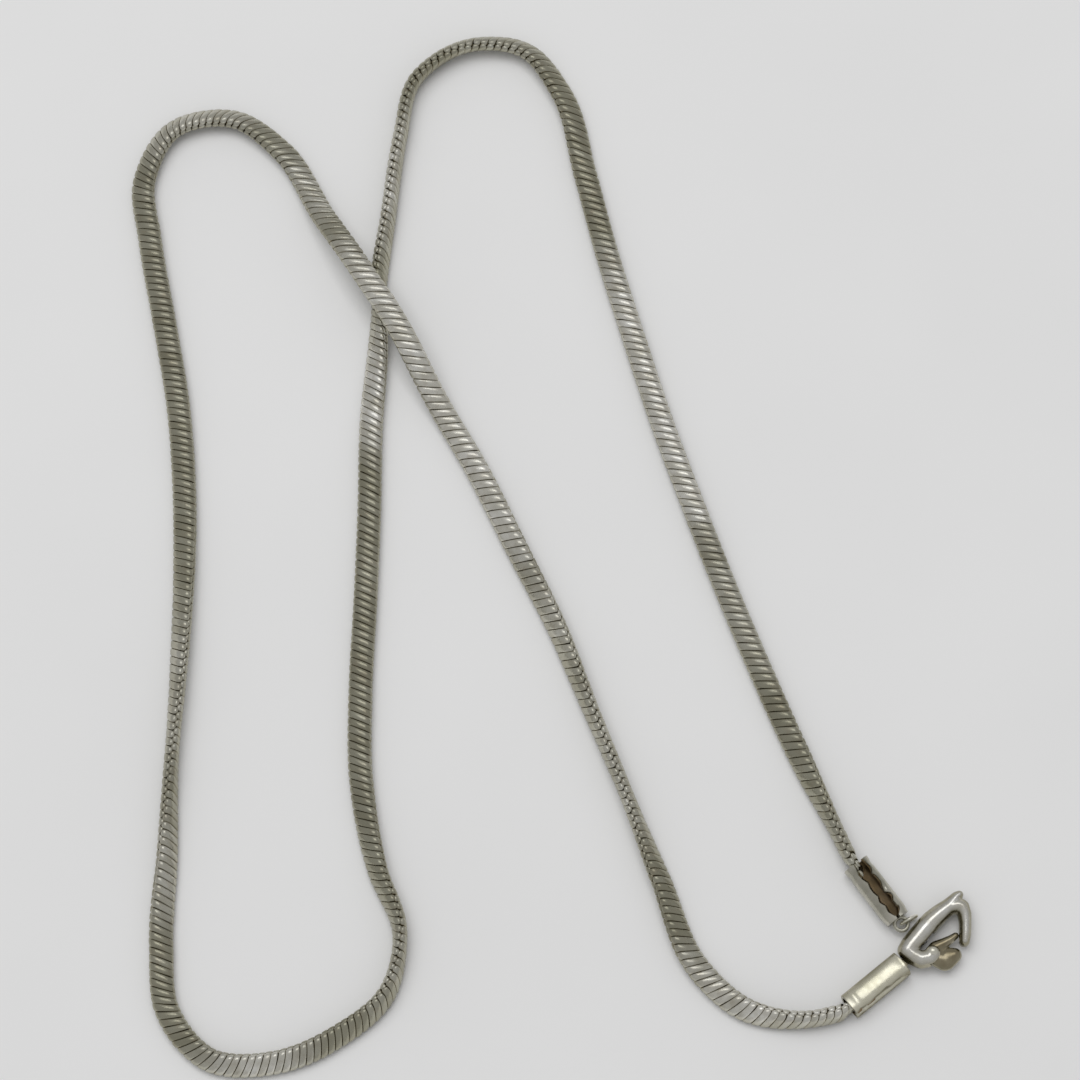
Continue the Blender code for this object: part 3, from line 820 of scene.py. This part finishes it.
def clasp_pieces(silver, brown, bright):
    """The cast body, the lever with its thumb tab, and the rivets."""
    tools = [  # the lever's slot, the spring's seat, the slot for the cap's tab, and the pivot hole
        box_tool((0.3, -4.0, -0.85), (3.3, -0.15, 0.85)),
        rod_tool(0.6, 1.4, SPRING_AT, lying=True),
        box_tool((-2.0, -3.0, -0.7), (1.15, 1.2, 0.3)),
        rod_tool(0.4, 6.0, (*PIVOT, 0)),
    ]
    body = add_piece(
        "clasp_body", cast("clasp_body", (SPINE_CIRCLES, LIMB_CIRCLES), CLASP_HALF, tools), silver
    )
    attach(body, "clasp")
    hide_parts("clasp_hook")
    lever = add_piece(
        "clasp_thumb_lever",
        cast(
            "clasp_thumb_lever", (BAR_CIRCLES, TAB_CIRCLES), LEVER_HALF,
            [rod_tool(0.42, 6.0, (*PIVOT, 0))],
        ),
        brown,
    )
    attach(lever, "clasp_lever")
    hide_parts("clasp_lever")
    top = CLASP_HALF
    profile = [
        (0.02, -top - 0.02), (0.3, -top), (0.44, 0.08 - top), (0.44, 0.14 - top), (0.32, 0.2 - top),
        (0.32, top - 0.2), (0.44, top - 0.14), (0.44, top - 0.08), (0.3, top), (0.02, top + 0.02),
    ]
    mesh = lathe("clasp_rivet", profile)
    place = joint_place("clasp_swing", CLASP_HEADING, CLASP_HEIGHT)
    mesh.transform(place @ Matrix.Translation((*PIVOT, 0)))
    rivet = add_piece("clasp_rivet", mesh, bright)
    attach(rivet, "clasp")
    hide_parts("clasp_pivot_pin")
    pin = lathe("clasp_base_rivet", [(0.22, -0.85), (0.25, -0.8), (0.25, 0.5), (0.22, 0.55)], 32)
    pin.transform(place)
    base = add_piece("clasp_base_rivet", pin, bright)
    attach(base, "clasp")


def paint_nodes(materials):
    """Gives the carried-over CAD nodes their finishes."""
    for name, obj in frame["nodes"].items():
        if name in materials:
            for slot in obj.material_slots:
                slot.material = materials[name]


def area_light(name, place, aim, size, power):
    """A soft rectangular lamp."""
    data = bpy.data.lights.new(name, "AREA")
    data.shape = "RECTANGLE"
    data.size, data.size_y = size
    data.energy = power
    lamp = bpy.data.objects.new(name, data)
    lamp.location = place
    lamp.rotation_euler = (Vector(aim) - Vector(place)).to_track_quat("-Z", "Y").to_euler()
    bpy.context.scene.collection.objects.link(lamp)
    return lamp


def studio():
    """Floor, lamps, world and camera."""
    world = bpy.data.worlds.new("studio")
    bpy.context.scene.world = world
    world.use_nodes = True
    world.node_tree.nodes["Background"].inputs["Color"].default_value = (
        WORLD_GREY, WORLD_GREY, WORLD_GREY, 1
    )
    world.node_tree.nodes["Background"].inputs["Strength"].default_value = 1.0
    bpy.context.scene.view_settings.view_transform = "Standard"
    shape = bmesh.new()
    bmesh.ops.create_grid(shape, x_segments=1, y_segments=1, size=FLOOR_HALF)
    mesh = bpy.data.meshes.new("floor")
    shape.to_mesh(mesh)
    shape.free()
    n = Nodes("floor_paper")
    pale = n.ramp(n.noise(30), [(0.3, (0.84, 0.84, 0.84)), (0.7, (0.86, 0.86, 0.86))])
    n.link(pale, "Base Color")
    n.shader.inputs["Roughness"].default_value = 0.9
    floor = add_piece("floor", mesh, n.material)
    key = area_light("key", (-0.25, 0.30, 1.1), (0, 0, 0), (1.0, 1.0), KEY_POWER)
    key.visible_glossy = False
    area_light("softbox", (0.0, 0.25, 0.75), (0.0, 0.0166, 0), (0.5, 0.28), SOFTBOX_POWER)
    data = bpy.data.cameras.new("camera")
    data.lens = data.sensor_width * CAMERA_DISTANCE / VIEW_WIDTH
    data.clip_start = 0.01
    camera = bpy.data.objects.new("camera", data)
    back = Vector((0, -math.cos(CAMERA_ELEVATION), math.sin(CAMERA_ELEVATION)))
    camera.location = AIM + back * CAMERA_DISTANCE
    camera.rotation_euler = (-back).to_track_quat("-Z", "Y").to_euler()
    bpy.context.scene.collection.objects.link(camera)
    bpy.context.scene.camera = camera


def main():
    path = ChainPath()
    chain_pieces(path, chain_silver(), painted_core_shade())
    # olive goes on the steep sides of what is given it; level tops keep the brighter colour as a
    # painted highlight
    olive = ((0.26, 0.24, 0.16), (0.46, 0.43, 0.33))
    bright = polished("bright_silver", (0.80, 0.78, 0.66), (0.92, 0.90, 0.82), 0.18, 0.28)
    clasp = polished("clasp_silver", (0.74, 0.71, 0.62), (0.94, 0.94, 0.92), 0.20, 0.30, olive)
    dull_cap = polished("cap_silver", (0.40, 0.39, 0.32), (0.62, 0.60, 0.52), 0.22, 0.36)
    # a brighter copy of the cap's silver: a painted highlight on the second cap
    highlit_cap = polished(
        "highlit_cap_silver", (0.78, 0.75, 0.58), (0.95, 0.92, 0.78), 0.22, 0.34, olive
    )
    tarnish = polished("cap_inside", (0.20, 0.14, 0.07), (0.42, 0.32, 0.20), 0.35, 0.5)
    lever = polished("lever_silver", (0.25, 0.21, 0.13), (0.42, 0.37, 0.26), 0.14, 0.26, olive)
    steel = polished("spring_steel", (0.45, 0.44, 0.42), (0.6, 0.59, 0.57), 0.2, 0.3)
    for row, finish in zip(CAPS, (dull_cap, highlit_cap)):
        end_cap(*row, finish, tarnish)
    wire_ring(bright)
    clasp_pieces(clasp, lever, bright)
    paint_nodes({"clasp_spring": steel})
    studio()


main()
